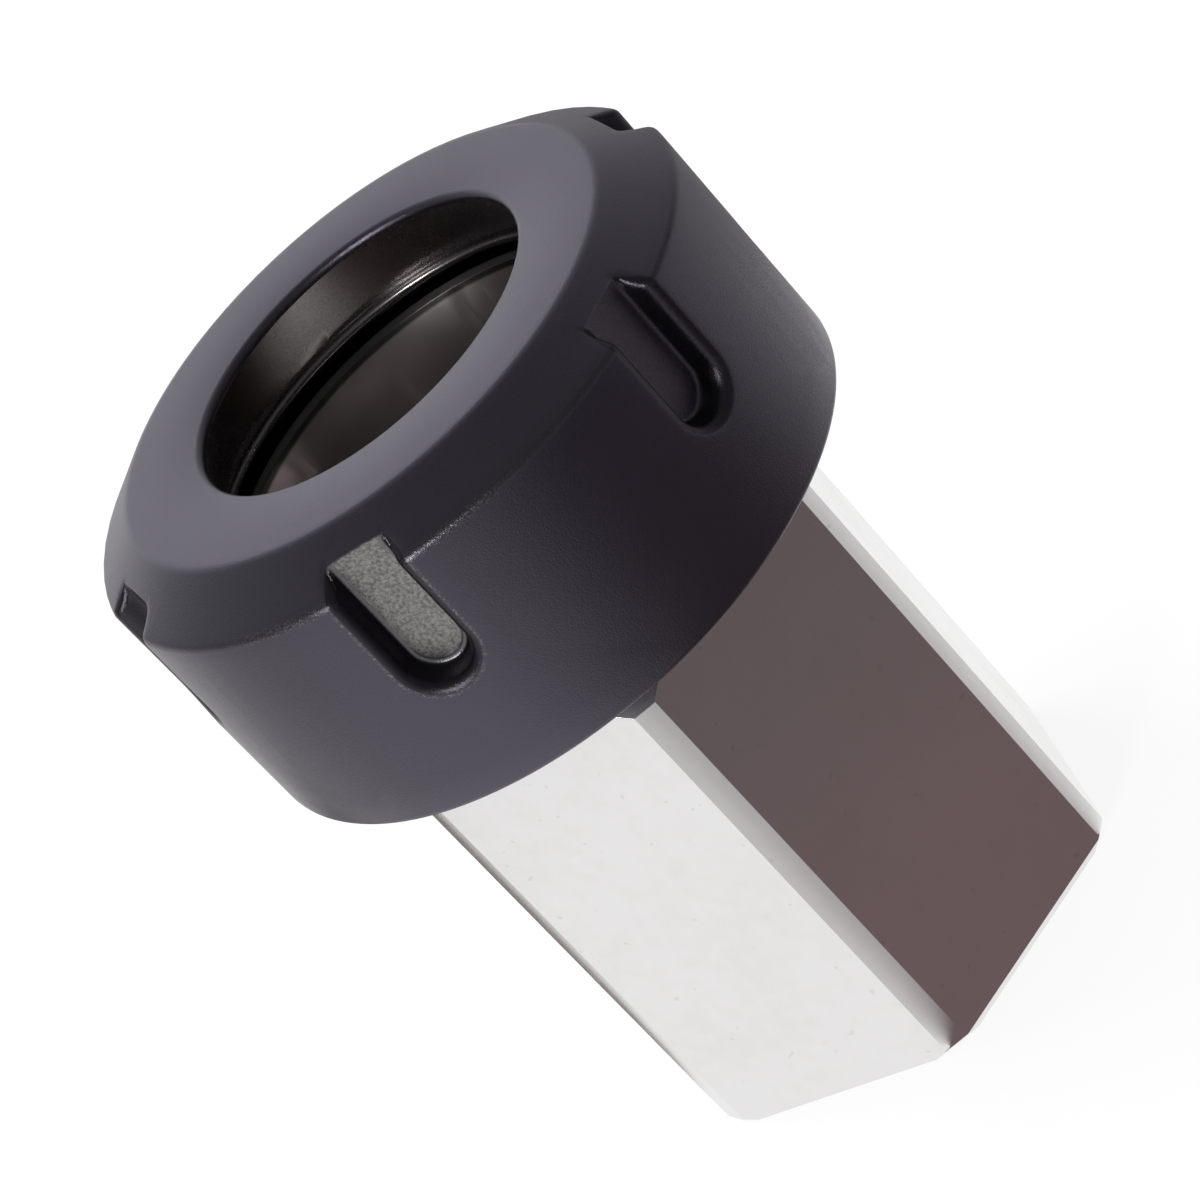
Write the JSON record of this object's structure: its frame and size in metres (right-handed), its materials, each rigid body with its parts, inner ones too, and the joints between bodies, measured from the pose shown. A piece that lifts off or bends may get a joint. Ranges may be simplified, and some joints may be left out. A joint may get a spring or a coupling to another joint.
{
  "type": "hexagonal collet block",
  "caption": "Hexagonal steel workholding block with a tapered collet socket, a through bore and a dark slotted clamping nut screwed on its end.",
  "frame": {"origin": "on the axis, at the flat rear end of the hexagonal block that it stands on", "axes": "+Z along the axis from the rear end to the nut's nose; +X square to one flat of the hexagon; one corner of the hexagon points along -Y"},
  "size_m": [0.05, 0.05, 0.0632],
  "materials": {
    "ground_steel": "fine ground satin",
    "black_oxide_steel": "satin black oxide"
  },
  "bodies": {
    "block": {"hex_block": "ground_steel"},
    "nut": {"clamping_nut": "black_oxide_steel"}
  },
  "joints": [
    {"name": "nut_turn", "type": "hinge", "parent": "block", "child": "nut", "pos_m": [0, 0, 0.0522], "axis": [0, 0, 1], "range_deg": [-288, 2880]}
  ]
}
